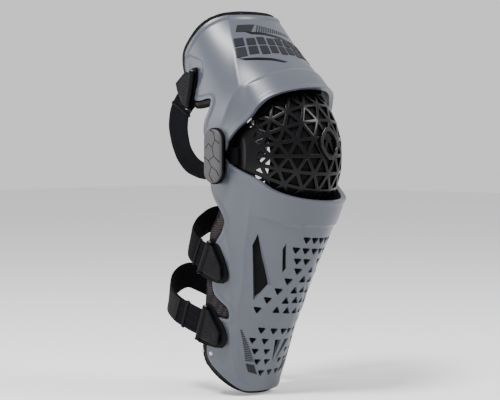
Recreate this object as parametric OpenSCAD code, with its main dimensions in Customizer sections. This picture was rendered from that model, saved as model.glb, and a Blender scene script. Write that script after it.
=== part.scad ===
// Hinged knee and shin guard: a thigh shell and a shin shell joined on both
// sides by a two-pivot hinge that also carries an open lattice knee cup.
// X is lateral, the front faces -Y, Z is up. The origin is the knee centre,
// midway between the two hinge axes. Limb parts are drawn for a straight leg
// and then leaned.

/* [Fit] */
// Distance of each hinge axis above or below the knee centre
axis_off = 15; // [14:1:16]
// Backward lean of the thigh shell at rest
thigh_lean = 25; // [22:1:26]
// Backward lean of the shin shell at rest
shin_lean = 10; // [8:1:12]

/* [Walls] */
// Thickness of the moulded shells
shell_t = 3; // [2.5:0.1:3]
// Thickness of the liner sheets
liner_t = 2.4; // [2:0.1:2.6]
// Thickness of the thigh and shin pads
pad_t = 9; // [6:1:9]
// Thickness of the lattice knee cup
cup_t = 3; // [2.5:0.5:3]

/* [Knee cup] */
// Radius of the knee cup round the lateral axis
cup_r = 93; // [91:1:93]
// Half width of the knee cup ellipse
cup_w = 62; // [61.5:0.5:62]
// Upper edge of the cup, degrees above the front
cup_top = 70; // [60:1:72]
// Lower edge of the cup, degrees below the front
cup_low = 58; // [50:1:60]

/* [Hinge] */
// Radius of the hinge pins
pin_r = 5; // [4:0.5:5]
// Radial running clearance in the hinge bores
run_c = 0.05; // [0.02:0.01:0.1]
// Width of the oval hinge cover
cap_w = 24; // [22:1:26]
// Height of the oval hinge cover
cap_h = 56; // [54:1:58]

/* [Straps] */
// Width of the strap webbing
web_w = 28; // [24:1:28]
// Thickness of the strap webbing
web_t = 2; // [1.6:0.1:2.2]
// Radius of the clip hinge rods
rod_r = 1.6; // [1.4:0.1:1.6]

/* [Hidden] */
$fn = 48;
gap = 0.4;

// ---- section tables: [distance along the limb, value] ----
thigh_A = [[-20,71],[30,70.5],[60,69],[100,66],[140,61]];
thigh_D = [[-20,101],[0,96],[16,91],[42,82],[68,71],[92,62],[115,54],[140,48]];
thigh_N = [[-20,2.2],[140,2.2]];
shin_A = [[-20,67],[50,65],[100,62],[150,57],[200,50],[240,44]];
shin_D = [[-20,105],[0,102],[33,98],[55,93.5],[80,87],[113,77],[136,71],[170,60],[208,47],[240,41]];
shin_N = [[-20,2.2],[10,2.1],[50,1.8],[95,1.6],[150,1.65],[200,2.1],[240,2.2]];
rear_R = 50;

// smooth interpolation through a table
function seg(k,h,i=0) = (i >= len(k)-2 || h < k[i+1][0]) ? i : seg(k,h,i+1);
function slope(k,i) = let(a=max(i-1,0), b=min(i+1,len(k)-1)) (k[b][1]-k[a][1])/(k[b][0]-k[a][0]);
function kv(k,hh) = let(h=min(max(hh,k[0][0]),k[len(k)-1][0]), i=seg(k,h),
    d=k[i+1][0]-k[i][0], t=(h-k[i][0])/d, m0=slope(k,i), m1=slope(k,i+1))
    (2*pow(t,3)-3*t*t+1)*k[i][1] + (pow(t,3)-2*t*t+t)*d*m0 + (3*t*t-2*pow(t,3))*k[i+1][1] + (pow(t,3)-t*t)*d*m1;
// superellipse section: lateral x and forward f at the angle p from the front
function sx(A,n,p) = A*sign(sin(p))*pow(abs(sin(p)),2/n);
function sf(D,R,n,p) = (cos(p)>=0 ? D : -R)*pow(abs(cos(p)),2/n);
function pt(kA,kD,kN,h,p,off,up) = let(n=kv(kN,h)) [sx(kv(kA,h)-off,n,p), -sf(kv(kD,h)-off,rear_R-off,n,p), up*h];
// closed thick sheet between two offsets of a limb surface
module sheet(kA,kD,kN,h0,h1,nh,p0,p1,np,o0,o1,up) {
    N=(nh+1)*(np+1);
    pts=concat([for(i=[0:nh],j=[0:np]) pt(kA,kD,kN,h0+(h1-h0)*i/nh,p0+(p1-p0)*j/np,o0,up)],
               [for(i=[0:nh],j=[0:np]) pt(kA,kD,kN,h0+(h1-h0)*i/nh,p0+(p1-p0)*j/np,o1,up)]);
    function q(i,j)=i*(np+1)+j;
    tri=concat(
      [for(i=[0:nh-1],j=[0:np-1]) each [[q(i,j),q(i,j+1),q(i+1,j+1)],[q(i,j),q(i+1,j+1),q(i+1,j)]]],
      [for(i=[0:nh-1],j=[0:np-1]) each [[N+q(i,j),N+q(i+1,j+1),N+q(i,j+1)],[N+q(i,j),N+q(i+1,j),N+q(i+1,j+1)]]],
      [for(j=[0:np-1]) each [[q(0,j),N+q(0,j),N+q(0,j+1)],[q(0,j),N+q(0,j+1),q(0,j+1)]]],
      [for(j=[0:np-1]) each [[q(nh,j),N+q(nh,j+1),N+q(nh,j)],[q(nh,j),q(nh,j+1),N+q(nh,j+1)]]],
      [for(i=[0:nh-1]) each [[q(i,0),N+q(i+1,0),N+q(i,0)],[q(i,0),q(i+1,0),N+q(i+1,0)]]],
      [for(i=[0:nh-1]) each [[q(i,np),N+q(i,np),N+q(i+1,np)],[q(i,np),N+q(i+1,np),q(i+1,np)]]]);
    polyhedron(pts, up>0 ? [for(t=tri) [t[0],t[2],t[1]]] : tri, convexity=8);
}
// corner-cut a closed outline
function cut(p) = [for(i=[0:len(p)-1]) let(a=p[i],b=p[(i+1)%len(p)]) each [0.75*a+0.25*b, 0.25*a+0.75*b]];
// side outline of [forward, along] points, extruded across the guard
module across(p,up,w=90) rotate([90,0,90]) translate([0,0,-w]) linear_extrude(2*w) polygon([for(q=p) [-q[0],up*q[1]]]);
module xcyl(r,x0,x1,y=0,z=0) translate([x0,y,z]) rotate([0,90,0]) cylinder(r=r,h=x1-x0);
module thigh_place() translate([0,0,axis_off]) rotate([-thigh_lean,0,0]) children();
module shin_place() translate([0,0,-axis_off]) rotate([shin_lean,0,0]) children();

// ---- side outlines [forward, along the limb from the hinge axis] ----
thigh_side = cut([[9,-8],[29,1],[46,5],[58,14],[70,19],[88,19],[125,17],[125,121],[60,121],[50,124],
    [38,127],[22,123],[6,114],[-7,106],[-14,95],[-17,80],[-17,64],[-15,55],[-6,49],[9,46],[11,42],
    [3,34],[-8,26],[-16,16],[-17,3],[-13,-8],[-3,-13]]);
thigh_liner_side = cut([[8,34],[28,30],[48,30],[62,34],[90,35],[125,35],[125,126],[62,126],[52,129],
    [38,132],[20,128],[3,119],[-12,111],[-20,98],[-22,80],[-22,58],[-19,46],[-6,41],[2,39]]);
shin_side = cut([[8,-10],[24,-5],[48,0],[61,8],[77,12],[93,14],[130,14],[130,232],[42,232],[34,228],
    [24,220],[14,212],[6,206],[0,196],[2,165],[3,157],[12,154],[23,155],[27,152],[25,142],[14,136],[5,128],
    [3,100],[4,76],[12,64],[15,55],[13,47],[5,38],[-4,30],[-11,20],[-15,6],[-13,-7],[-4,-13]]);
shin_liner_side = cut([[6,30],[26,22],[48,19],[62,22],[90,23],[130,23],[130,236],[42,236],[32,232],
    [19,224],[7,216],[-4,208],[-9,196],[-7,160],[-7,118],[-8,84],[-8,66],[-2,56],[2,48]]);

// ---- thigh ----
module thigh_shell() color([0.52,0.54,0.58]) thigh_place() difference() {
    union() {
        difference() {
            intersection() {
                sheet(thigh_A,thigh_D,thigh_N,-17,134,14,-109,109,26,0,shell_t,1);
                across(thigh_side,1);
            }
            for(s=[-1,1]) side(s) xcyl(10,50,68.2);
        }
        for(s=[-1,1]) xcyl(14.4, s>0?68:-71.05, s>0?71.05:-68);
    }
    xcyl(pin_r+run_c,-80,80);
}
module thigh_liner() color([0.27,0.25,0.26]) thigh_place() intersection() {
    sheet(thigh_A,thigh_D,thigh_N,12,139,9,-112,112,20,shell_t+gap,shell_t+gap+liner_t,1);
    across(thigh_liner_side,1);
}
module thigh_pad() color([0.13,0.13,0.14]) thigh_place()
    sheet(thigh_A,thigh_D,thigh_N,62,112,6,-72,72,16,shell_t+liner_t+2*gap,shell_t+liner_t+2*gap+pad_t,1);
module thigh_badge() color([0.2,0.21,0.23]) thigh_place() intersection() {
    sheet(thigh_A,thigh_D,thigh_N,64,98,4,-46,46,14,-1.2,-0.02,1);
    union() {
        for(s=[-1,1]) translate([s*12,0,88]) rotate([90,0,0]) linear_extrude(120) polygon([[s*-6,5],[s*26,-1],[s*28,-7],[s*-4,-1]]);
        for(s=[-1,1]) translate([s*14,0,74]) rotate([90,0,0]) linear_extrude(120) polygon([[s*-8,4],[s*26,-1],[s*27,-6],[s*-6,-1]]);
    }
}

// ---- clips: catch plate, hinged lever and rod, drawn for the +X side ----
// The rod lies along z at x = 5.7 over the skin, y points to the rear.
module side(s) { if (s>0) children(); else mirror([1,0,0]) children(); }
module clip_at(f,h,up,x0,tilt,yaw) translate([x0,-f,up*h]) rotate([tilt,0,0]) rotate([0,0,yaw]) children();
module plate(p,x0,x1) translate([x0,0,0]) rotate([90,0,90]) linear_extrude(x1-x0) polygon(cut(p));
module clip_catch(p,L) difference() {
    union() {
        plate(p,0,2.4);
        for(z=[-L/2,L/2-2.4]) translate([0,0,z]) {
            translate([5.7,0,0]) cylinder(r=3,h=2.4);
            translate([1,-3,0]) cube([4.7,6,2.4]);
        }
    }
    translate([5.7,0,-L]) cylinder(r=rod_r+0.02,h=2*L);
}
module clip_lever(p,L) difference() {
    union() {
        intersection() {
            plate(p,4.2,7.2);
            translate([0,-60,-L/2+2.7]) cube([20,120,L-5.4]);
        }
        translate([5.7,0,-L/2+2.7]) cylinder(r=3,h=L-5.4);
    }
    translate([5.7,0,-L]) cylinder(r=rod_r+run_c,h=2*L);
}
module clip_rod(L) translate([5.7,0,-L/2-0.6]) cylinder(r=rod_r,h=L+1.2);
thigh_catch_p = [[-4,25],[-4,-22],[2,-24],[9,-18],[16,-6],[15,10],[6,22]];
thigh_lever_p = [[-2,19],[11,19],[24,3],[20,-4],[8,-20],[-2,-22]];
upper_catch_p = [[4,20],[-5,22],[-14,15],[-31,-3],[-33,-11],[-29,-18],[-8,-22],[4,-20]];
upper_lever_p = [[2,19],[-5,19],[-23,0],[-28,-11],[-24,-18],[2,-20]];
lower_catch_p = [[4,21],[-5,23],[-12,16],[-31,0],[-33,-12],[-29,-19],[-1,-23],[4,-21]];
lower_lever_p = [[2,20],[-5,20],[-25,-2],[-26,-14],[-22,-19],[2,-20]];
module thigh_clip(s) side(s) thigh_place() clip_at(-10,64,1,67.6,36,8) children();
module upper_clip(s) side(s) shin_place() clip_at(-5,93,-1,62.4,14,-6) children();
module lower_clip(s) side(s) shin_place() clip_at(-4,164,-1,55.2,8,-7) children();
module black() color([0.06,0.06,0.07]) children();
module dark() color([0.2,0.2,0.22]) children();
module steel() color([0.7,0.71,0.73]) children();
module thigh_catch_left() black() thigh_clip(-1) clip_catch(thigh_catch_p,40);
module thigh_catch_right() black() thigh_clip(1) clip_catch(thigh_catch_p,40);
module thigh_lever_left() dark() thigh_clip(-1) clip_lever(thigh_lever_p,40);
module thigh_lever_right() dark() thigh_clip(1) clip_lever(thigh_lever_p,40);
module thigh_rod_left() steel() thigh_clip(-1) clip_rod(40);
module thigh_rod_right() steel() thigh_clip(1) clip_rod(40);
module upper_calf_catch_left() black() upper_clip(-1) clip_catch(upper_catch_p,36);
module upper_calf_catch_right() black() upper_clip(1) clip_catch(upper_catch_p,36);
module upper_calf_lever_left() dark() upper_clip(-1) clip_lever(upper_lever_p,36);
module upper_calf_lever_right() dark() upper_clip(1) clip_lever(upper_lever_p,36);
module upper_calf_rod_left() steel() upper_clip(-1) clip_rod(36);
module upper_calf_rod_right() steel() upper_clip(1) clip_rod(36);
module lower_calf_catch_left() black() lower_clip(-1) clip_catch(lower_catch_p,38);
module lower_calf_catch_right() black() lower_clip(1) clip_catch(lower_catch_p,38);
module lower_calf_lever_left() dark() lower_clip(-1) clip_lever(lower_lever_p,38);
module lower_calf_lever_right() dark() lower_clip(1) clip_lever(lower_lever_p,38);
module lower_calf_rod_left() steel() lower_clip(-1) clip_rod(38);
module lower_calf_rod_right() steel() lower_clip(1) clip_rod(38);

// ---- strap webbing: a flat band through stations on the left half ----
// [x, forward, z, and the direction of the band's width in x, forward, z]
thigh_band = [[-67,-42,63,0,-0.55,0.83],[-66.6,-52,54,0,-0.8,0.6],[-66.2,-59,41,0,-0.95,0.3],[-64,-61,22,0,-0.98,0.15],
    [-56,-60,1,0.1,-0.95,-0.2],[-37,-59,-14,0.1,-0.9,-0.4],[0,-60,-20,0,-0.87,-0.5]];
upper_band = [[-63.2,-20,-107,0,-0.35,-0.94],[-62.8,-31,-103,0,-0.35,-0.94],[-60.5,-44,-97,0,-0.33,-0.94],
    [-50,-57,-88,0,-0.25,-0.96],[-28,-65,-77,0,-0.2,-0.98],[0,-68,-69,0,-0.2,-0.98]];
lower_band = [[-56,-38,-176,0,-0.3,-0.95],[-56,-54,-171,0,-0.3,-0.95],[-54,-76,-163,0,-0.25,-0.97],
    [-44,-95,-153,0,-0.15,-0.99],[-25,-107,-141,0,-0.1,-0.99],[0,-110,-133,0,-0.1,-0.99]];
function flip(p) = [-p[0],p[1],p[2],-p[3],p[4],p[5]];
function whole(k) = concat(k,[for(i=[len(k)-2:-1:0]) flip(k[i])]);
function cr(k,u) = let(n=len(k)-1, i=min(floor(u),n-1), t=u-i, a=k[max(i-1,0)], b=k[i], c=k[i+1], d=k[min(i+2,n)])
    0.5*(2*b+(c-a)*t+(2*a-5*b+4*c-d)*t*t+(3*b-a-3*c+d)*t*t*t);
function unit(v) = v/norm(v);
function world(v) = [v[0],-v[1],v[2]];
module band(half,div=3) {
    k=whole(half); n=(len(k)-1)*div;
    st=[for(i=[0:n]) let(u=i/div, p=cr(k,u), q=cr(k,min(u+0.01,len(k)-1)), r=cr(k,max(u-0.01,0)),
        t=unit(world([q[0]-r[0],q[1]-r[1],q[2]-r[2]])), w0=world([p[3],p[4],p[5]]), w=unit(w0-(w0*t)*t), m=cross(t,w))
        [world([p[0],p[1],p[2]]),w,m]];
    pts=[for(s=st) for(c=[[1,1],[1,-1],[-1,-1],[-1,1]]) s[0]+c[0]*web_w/2*s[1]+c[1]*web_t/2*s[2]];
    polyhedron(pts, concat([[0,1,2],[0,2,3]],
        [for(i=[0:n-1],j=[0:3]) let(a=4*i+j,b=4*i+(j+1)%4) each [[a,a+4,b],[b,a+4,b+4]]],
        [[4*n,4*n+2,4*n+1],[4*n,4*n+3,4*n+2]]), convexity=6);
}
module thigh_strap() color([0.05,0.05,0.07]) band(thigh_band);
module upper_calf_strap() color([0.05,0.05,0.07]) band(upper_band);
module lower_calf_strap() color([0.05,0.05,0.07]) band(lower_band);

// ---- knee cup, carried between the hinges ----
// radius of the cup's bow at the lateral distance x
cup_n = 2.3;
function bow(r,w,x) = [r*pow(max(1-pow(abs(x)/w,cup_n),0),1/cup_n), x];
module dome(r,w,t,flat,a0,a1,lim) rotate([0,90,0]) rotate([0,0,270-a1]) rotate_extrude(angle=a1-a0,$fn=96)
    polygon(concat([for(i=[-12:12]) bow(r,w,lim*sin(i*7.5))],
        flat>0 ? [[flat,lim],[flat,lim-t]] : [],
        [for(i=[12:-1:-12]) bow(r-t,w-t,(flat>0?lim-t:lim)*sin(i*7.5))],
        flat>0 ? [[flat,-lim+t],[flat,-lim]] : []));
module window(e,x,r,turn) rotate([-e,0,0]) translate([x,-bow(cup_r,cup_w,x)[0],0]) rotate([0,0,x*1.1])
    rotate([90,turn,0]) translate([0,0,-8]) linear_extrude(16) circle(r=r,$fn=3);
module stadium(r,x0,x1) { xcyl(r,x0,x1,0,axis_off); xcyl(r,x0,x1,0,-axis_off);
    translate([x0,-r,-axis_off]) cube([x1-x0,2*r,2*axis_off]); }
module knee_cup() color([0.05,0.05,0.06]) difference() {
    union() {
        dome(cup_r,cup_w,cup_t,22,-cup_low,cup_top,60);
        for(s=[-1,1]) { stadium(13,s>0?57:-60,s>0?60:-57);
            translate([s>0?57:-60,-26,-14]) cube([3,26,28]); }
    }
    for(z=[-axis_off,axis_off]) xcyl(pin_r+run_c,-80,80,0,z);
    for(e=[-44,-8,28], x=[-44,-24,0,24,44]) window(e,x,8,90);
    for(e=[-26,10,46], x=[-35,-12,12,35]) window(e,x,8,-90);
}
module knee_pad() color([0.1,0.1,0.11]) dome(cup_r-cup_t-gap,cup_w-cup_t-gap,7,0,-48,60,46);
module knee_emblem() color([0.3,0.3,0.32]) intersection() {
    dome(cup_r+1.2,cup_w+1.2,1.15,0,-6,22,30);
    rotate([-8,0,0]) rotate([90,0,0]) linear_extrude(130) polygon([[0,12],[11,5],[11,-5],[0,-12],[-11,-5],[-11,5]]);
}
module cup_rivets() steel() for(s=[-1,1]) rotate([-45,0,0]) translate([s*53,-49,0]) rotate([0,0,s*60]) rotate([90,0,0])
    translate([0,0,-4]) cylinder(r=1.8,h=6.5);

// ---- hinge, the same on both sides ----
module hinge_link(s) steel() difference() {
    side(s) union() { stadium(13,60.2,63); translate([60.2,-22,-9]) cube([2.8,22,18]); }
    for(z=[-axis_off,axis_off]) xcyl(pin_r+run_c,-90,90,0,z);
}
module oval(w,h,x0,x1) { xcyl(w/2,x0,x1,0,(h-w)/2); xcyl(w/2,x0,x1,0,-(h-w)/2);
    translate([x0,-w/2,-(h-w)/2]) cube([x1-x0,w,h-w]); }
module hinge_base(s) black() difference() {
    side(s) oval(cap_w+2.4,cap_h+2.4,72,75);
    for(z=[-axis_off,axis_off]) xcyl(pin_r+run_c,-90,90,0,z);
    for(z=[-22,0,22]) xcyl(1.55,-90,90,0,z);
}
module hinge_cap(s) color([0.4,0.39,0.41]) side(s) union() {
    oval(cap_w,cap_h,75.1,78); oval(cap_w-3,cap_h-3,78,79.2);
    for(z=[-22,0,22]) xcyl(1.5,72.6,75.2,0,z);
}
module pin() { xcyl(pin_r,56.8,75); xcyl(8,54.8,56.8); }
module upper_pins() steel() for(s=[-1,1]) side(s) translate([0,0,axis_off]) pin();
module lower_pins() steel() for(s=[-1,1]) side(s) translate([0,0,-axis_off]) pin();
module ring(r,x0,x1) difference() { xcyl(r,x0,x1); xcyl(pin_r+run_c,x0-1,x1+1); }
module upper_spacers() color([0.1,0.1,0.1]) for(s=[-1,1]) side(s) translate([0,0,axis_off]) { ring(9,63.1,67.9); ring(9,71.1,71.9); }
module lower_spacers() color([0.1,0.1,0.1]) for(s=[-1,1]) side(s) translate([0,0,-axis_off]) { ring(9,63.1,63.9); ring(9,67.1,71.9); }
module hinge_link_left() hinge_link(-1);
module hinge_link_right() hinge_link(1);
module hinge_base_left() hinge_base(-1);
module hinge_base_right() hinge_base(1);
module hinge_cap_left() hinge_cap(-1);
module hinge_cap_right() hinge_cap(1);

// ---- shin ----
// small vents: [lateral, distance down the shin], drawn for one half
vents_down = [[0,57],[8.5,57],[17,57],[4.5,69],[14,69],[23,69],[9,81],[18,81],[14,92],[19,104],[24,116],[30,127],[35,139],
    [4.5,161],[15.5,161],[27,161],[21,173],[32,173],[15,185],[27,185],[10,197],[21,197],[0,210],[12,210]];
vents_up = [[0,91],[5,102],[0,114],[9.5,115],[4.5,126],[14.5,127],[0,138],[10,138],[20,138]];
module tri_vent(x,h,turn) translate([x,-120,-h]) rotate([-90,0,0]) rotate([0,0,turn]) cylinder(r=3.6,h=100,$fn=3);
// slanted vents cut square to the shell at the angle d from the front
module side_vent(s,d,p) side(s) rotate([0,0,d]) rotate([90,0,0]) linear_extrude(140) polygon([for(q=p) [q[0],-q[1]]]);
module shin_shell() color([0.5,0.52,0.56]) shin_place() difference() {
    union() {
        difference() {
            intersection() {
                sheet(shin_A,shin_D,shin_N,-16,236,20,-106,106,24,0,shell_t,-1);
                across(shin_side,-1);
            }
            for(s=[-1,1]) side(s) { xcyl(24,50,63.4); xcyl(10,50,64.2); }
        }
        for(s=[-1,1]) xcyl(14, s>0?64:-67, s>0?67:-64);
    }
    xcyl(pin_r+run_c,-80,80);
    for(q=vents_down, s=[-1,1]) if (q[0]>0 || s>0) tri_vent(s*q[0],q[1],-90);
    for(q=vents_up, s=[-1,1]) if (q[0]>0 || s>0) tri_vent(s*q[0],q[1],90);
    for(s=[-1,1]) {
        side_vent(s,50,[[-5.5,59],[-2.5,71],[-11,127],[-24,112]]);
        side_vent(s,35,[[-15.7,64],[-13.5,70],[-18.3,97],[-21.6,91]]);
    }
    for(s=[-1,1]) rotate([90,0,0]) linear_extrude(120) polygon([[s*2.5,-171],[s*11,-171],[s*1.8,-198]]);
}
module shin_liner() color([0.27,0.25,0.26]) shin_place() intersection() {
    sheet(shin_A,shin_D,shin_N,8,240,15,-112,112,20,shell_t+gap,shell_t+gap+liner_t,-1);
    across(shin_liner_side,-1);
}
module shin_pad() color([0.13,0.13,0.14]) shin_place()
    sheet(shin_A,shin_D,shin_N,57,206,10,-66,66,16,shell_t+liner_t+2*gap,shell_t+liner_t+2*gap+pad_t,-1);
module shin_rivets() steel() shin_place() for(s=[-1,1]) side(s) translate([0,6,-196]) xcyl(1.6,40,50.2);

thigh_shell();
thigh_liner();
thigh_pad();
thigh_badge();
thigh_strap();
thigh_catch_left();
thigh_catch_right();
thigh_lever_left();
thigh_lever_right();
thigh_rod_left();
thigh_rod_right();
knee_cup();
knee_pad();
knee_emblem();
cup_rivets();
hinge_link_left();
hinge_link_right();
hinge_base_left();
hinge_base_right();
hinge_cap_left();
hinge_cap_right();
upper_pins();
lower_pins();
upper_spacers();
lower_spacers();
shin_shell();
shin_liner();
shin_pad();
upper_calf_strap();
lower_calf_strap();
upper_calf_catch_left();
upper_calf_catch_right();
upper_calf_lever_left();
upper_calf_lever_right();
upper_calf_rod_left();
upper_calf_rod_right();
lower_calf_catch_left();
lower_calf_catch_right();
lower_calf_lever_left();
lower_calf_lever_right();
lower_calf_rod_left();
lower_calf_rod_right();
shin_rivets();
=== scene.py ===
import math
import bpy
import bmesh
import numpy as np
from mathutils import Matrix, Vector


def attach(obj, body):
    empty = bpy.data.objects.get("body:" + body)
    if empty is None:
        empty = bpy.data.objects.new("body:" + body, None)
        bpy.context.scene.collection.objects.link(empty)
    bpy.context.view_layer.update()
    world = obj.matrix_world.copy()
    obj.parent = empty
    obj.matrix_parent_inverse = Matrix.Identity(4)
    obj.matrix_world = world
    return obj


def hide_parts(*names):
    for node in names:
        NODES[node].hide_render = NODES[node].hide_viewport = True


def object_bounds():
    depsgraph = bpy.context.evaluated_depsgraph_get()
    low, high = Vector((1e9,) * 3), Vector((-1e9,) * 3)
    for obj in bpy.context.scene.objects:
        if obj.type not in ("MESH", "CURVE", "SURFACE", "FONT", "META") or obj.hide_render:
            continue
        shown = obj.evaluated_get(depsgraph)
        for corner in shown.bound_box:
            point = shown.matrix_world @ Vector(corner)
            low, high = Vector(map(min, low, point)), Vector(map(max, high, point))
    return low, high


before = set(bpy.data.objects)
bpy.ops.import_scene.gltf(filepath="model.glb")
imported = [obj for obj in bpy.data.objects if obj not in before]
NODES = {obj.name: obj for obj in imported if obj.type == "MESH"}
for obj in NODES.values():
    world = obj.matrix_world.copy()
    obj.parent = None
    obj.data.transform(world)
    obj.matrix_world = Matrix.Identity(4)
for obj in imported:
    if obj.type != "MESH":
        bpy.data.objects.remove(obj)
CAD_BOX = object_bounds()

COL = bpy.context.scene.collection

# ------------------------------------------------------------------ surfaces
THIGH_A = [[-20, 71], [30, 70.5], [60, 69], [100, 66], [140, 61]]
THIGH_D = [[-20, 101], [0, 96], [16, 91], [42, 82], [68, 71], [92, 62], [115, 54], [140, 48]]
THIGH_N = [[-20, 2.2], [140, 2.2]]
SHIN_A = [[-20, 67], [50, 65], [100, 62], [150, 57], [200, 50], [240, 44]]
SHIN_D = [[-20, 105], [0, 102], [33, 98], [55, 93.5], [80, 87], [113, 77], [136, 71], [170, 60], [208, 47], [240, 41]]
SHIN_N = [[-20, 2.2], [10, 2.1], [50, 1.8], [95, 1.6], [150, 1.65], [200, 2.1], [240, 2.2]]
REAR = 50.0


def table(K):
    K = np.array(K, float)
    h, v, n = K[:, 0], K[:, 1], len(K)
    s = np.array([(v[min(i + 1, n - 1)] - v[max(i - 1, 0)]) / (h[min(i + 1, n - 1)] - h[max(i - 1, 0)]) for i in range(n)])

    def f(x):
        x = np.clip(np.asarray(x, float), h[0], h[-1])
        i = np.clip(np.searchsorted(h, x, side="right") - 1, 0, n - 2)
        d = h[i + 1] - h[i]
        t = (x - h[i]) / d
        return (2 * t**3 - 3 * t * t + 1) * v[i] + (t**3 - 2 * t * t + t) * d * s[i] + (3 * t * t - 2 * t**3) * v[i + 1] + (t**3 - t * t) * d * s[i + 1]
    return f


class Limb:
    """A leaned tube of superellipse sections. Local points are (x, forward, along)."""

    def __init__(self, A, D, N, up, lean, z0):
        self.A, self.D, self.N = table(A), table(D), table(N)
        self.up, self.lean, self.z0 = up, math.radians(lean), z0

    def surf(self, p, h, off):
        n = self.N(h)
        s, c = np.sin(p), np.cos(p)
        x = (self.A(h) - off) * np.sign(s) * np.abs(s) ** (2 / n)
        f = np.where(c >= 0, self.D(h) - off, -(REAR - off)) * np.abs(c) ** (2 / n)
        return x, f

    def front(self, x, h, off=0.0):
        """Forward distance of the front surface at the lateral x."""
        n = self.N(h)
        a = np.clip(np.abs(x) / (self.A(h) - off), 0, 0.999)
        return (self.D(h) - off) * (1 - a**n) ** (1 / n)

    def world(self, x, f, h):
        x, f, h = np.broadcast_arrays(np.asarray(x, float), f, h)
        y, z = -f, self.up * h
        a = -self.lean if self.up > 0 else self.lean
        return np.stack([x, y * math.cos(a) - z * math.sin(a), y * math.sin(a) + z * math.cos(a) + self.z0], -1)


THIGH = Limb(THIGH_A, THIGH_D, THIGH_N, 1, 25, 15.0)
SHIN = Limb(SHIN_A, SHIN_D, SHIN_N, -1, 10, -15.0)

THIGH_SIDE = [[9, -8], [29, 1], [46, 5], [58, 14], [70, 19], [88, 19], [125, 17], [125, 121], [60, 121], [50, 124],
              [38, 127], [22, 123], [6, 114], [-7, 106], [-14, 95], [-17, 80], [-17, 64], [-15, 55], [-6, 49], [9, 46], [11, 42],
              [3, 34], [-8, 26], [-16, 16], [-17, 3], [-13, -8], [-3, -13]]
THIGH_LINER = [[8, 34], [28, 30], [48, 30], [62, 34], [90, 35], [125, 35], [125, 126], [62, 126], [52, 129],
               [38, 132], [20, 128], [3, 119], [-12, 111], [-20, 98], [-22, 80], [-22, 58], [-19, 46], [-6, 41], [2, 39]]
SHIN_SIDE = [[8, -10], [24, -5], [48, 0], [61, 8], [77, 12], [93, 14], [130, 14], [130, 232], [42, 232], [34, 228],
             [24, 220], [14, 212], [6, 206], [0, 196], [2, 165], [3, 157], [12, 154], [23, 155], [27, 152], [25, 142], [14, 136], [5, 128],
             [3, 100], [4, 76], [12, 64], [15, 55], [13, 47], [5, 38], [-4, 30], [-11, 20], [-15, 6], [-13, -7], [-4, -13]]
SHIN_LINER = [[6, 30], [26, 22], [48, 19], [62, 22], [90, 23], [130, 23], [130, 236], [42, 236], [32, 232],
              [19, 224], [7, 216], [-4, 208], [-9, 196], [-7, 160], [-7, 118], [-8, 84], [-8, 66], [-2, 56], [2, 48]]


def cut(P, n=1):
    P = np.array(P, float)
    for _ in range(n):
        Q = np.roll(P, -1, 0)
        P = np.stack([0.75 * P + 0.25 * Q, 0.25 * P + 0.75 * Q], 1).reshape(-1, 2)
    return P


def poly_dist(P, u, v):
    """Distance of points (u, v) to the closed outline P, positive inside."""
    u, v = np.asarray(u, float), np.asarray(v, float)
    best = np.full(u.shape, 1e9)
    inside = np.zeros(u.shape, bool)
    for a, b in zip(P, np.roll(P, -1, 0)):
        d = b - a
        t = np.clip(((u - a[0]) * d[0] + (v - a[1]) * d[1]) / max(d @ d, 1e-9), 0, 1)
        best = np.minimum(best, np.hypot(u - a[0] - t * d[0], v - a[1] - t * d[1]))
        hit = ((a[1] > v) != (b[1] > v)) & (u < (b[0] - a[0]) * (v - a[1]) / ((b[1] - a[1]) if b[1] != a[1] else 1e-9) + a[0])
        inside ^= hit
    return np.where(inside, best, -best)


def line_dist(L, u, v):
    """Distance to an open polyline, positive on its left."""
    L = np.array(L, float)
    best = np.full(np.shape(u), 1e9)
    side = np.zeros(np.shape(u))
    for a, b in zip(L[:-1], L[1:]):
        d = b - a
        t = np.clip(((u - a[0]) * d[0] + (v - a[1]) * d[1]) / (d @ d), 0, 1)
        r = np.hypot(u - a[0] - t * d[0], v - a[1] - t * d[1])
        s = d[0] * (v - a[1]) - d[1] * (u - a[0])
        near = r < best
        best = np.where(near, r, best)
        side = np.where(near, s, side)
    return best * np.sign(side)


def step(x, a, b):
    t = np.clip((x - a) / (b - a), 0, 1)
    return t * t * (3 - 2 * t)


# ------------------------------------------------------------------ mesh helpers (built in mm)
def new(name, V, F):
    me = bpy.data.meshes.new(name)
    me.from_pydata([tuple(map(float, v)) for v in V], [], [tuple(int(i) for i in f) for f in F])
    me.update()
    o = bpy.data.objects.new(name, me)
    COL.objects.link(o)
    return o


def fix(o):
    """Turns a closed mesh's faces outward."""
    bm = bmesh.new()
    bm.from_mesh(o.data)
    if bm.calc_volume(signed=True) < 0:
        bmesh.ops.reverse_faces(bm, faces=bm.faces)
    bm.to_mesh(o.data)
    bm.free()


def outward(V, F):
    """The same closed solid with its faces turned outward."""
    P = np.array([tuple(v) for v in V], float)
    P = P - P.mean(0)
    vol = 0.0
    for f in F:
        a = P[f[0]]
        for i in range(1, len(f) - 1):
            vol += float(np.dot(a, np.cross(P[f[i]], P[f[i + 1]])))
    return (V, F) if vol >= 0 else (V, [tuple(reversed(f)) for f in F])


def bake(o):
    dg = bpy.context.evaluated_depsgraph_get()
    me = bpy.data.meshes.new_from_object(o.evaluated_get(dg))
    o.modifiers.clear()
    o.data = me


def boolean(o, cutter, op):
    m = o.modifiers.new("b", "BOOLEAN")
    m.operation, m.object, m.solver = op, cutter, "MANIFOLD"
    bake(o)
    bpy.data.objects.remove(cutter)


def bevel(o, w, seg=2, angle=40):
    m = o.modifiers.new("v", "BEVEL")
    m.width, m.segments, m.limit_method, m.angle_limit = w, seg, "ANGLE", math.radians(angle)
    m.use_clamp_overlap = True
    m.miter_outer = "MITER_ARC"
    bake(o)


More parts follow.
